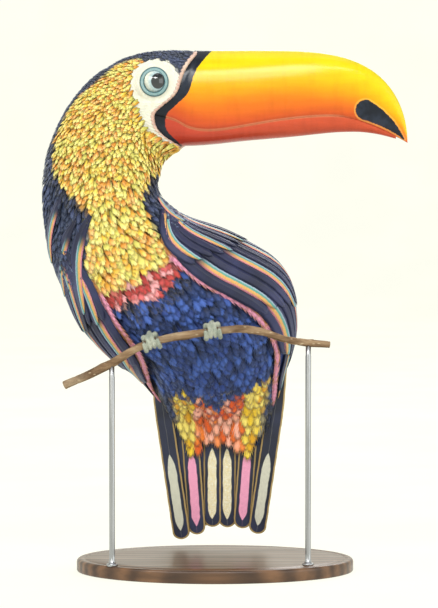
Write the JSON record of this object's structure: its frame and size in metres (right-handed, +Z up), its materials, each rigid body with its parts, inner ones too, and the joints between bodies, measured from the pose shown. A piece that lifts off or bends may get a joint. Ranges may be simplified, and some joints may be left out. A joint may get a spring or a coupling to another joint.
{
  "type": "toco toucan model",
  "caption": "Life-size toco toucan perched upright on a cut length of branch, breast to the front and head turned to its left, on a plain oval display stand.",
  "frame": {"origin": "centre of the oval base's flat underside", "axes": "+Z up; -Y the way the breast faces; +X the way the bill points, towards the bird's left"},
  "size_m": [0.3103, 0.16, 0.4429],
  "materials": {
    "dark_plumage": "glossy blue-black feathers",
    "belly_plumage": "glossy royal-blue feathers",
    "bib": "soft yellow feathers",
    "undertail": "soft red feathers",
    "face": "finely pebbled bare skin",
    "eye": "wet and clear, pale blue iris round a black pupil",
    "bill_orange": "satin horn, yellow above to orange below",
    "bill_red": "satin red-orange horn",
    "foot_skin": "scaled grey-green skin",
    "claw": "dark horn",
    "bark": "fine rough bark",
    "rod_steel": "satin",
    "base_wood": "dark stained, satin lacquer"
  },
  "bodies": {
    "root": {"head": "face", "neck": "bib", "trunk": "belly_plumage", "tail_coverts": "undertail", "bill_upper": "bill_orange", "bill_lower": "bill_red", "tail": "dark_plumage", "perch": "bark", "stand_base": "base_wood", "eye_left": "eye", "wing_left": "dark_plumage", "thigh_left": "belly_plumage", "foot_left": "foot_skin", "claw_left_1": "claw", "claw_left_2": "claw", "claw_left_3": "claw", "claw_left_4": "claw", "stand_rod_left": "rod_steel", "eye_right": "eye", "wing_right": "dark_plumage", "thigh_right": "belly_plumage", "foot_right": "foot_skin", "claw_right_1": "claw", "claw_right_2": "claw", "claw_right_3": "claw", "claw_right_4": "claw", "stand_rod_right": "rod_steel"}
  },
  "joints": []
}
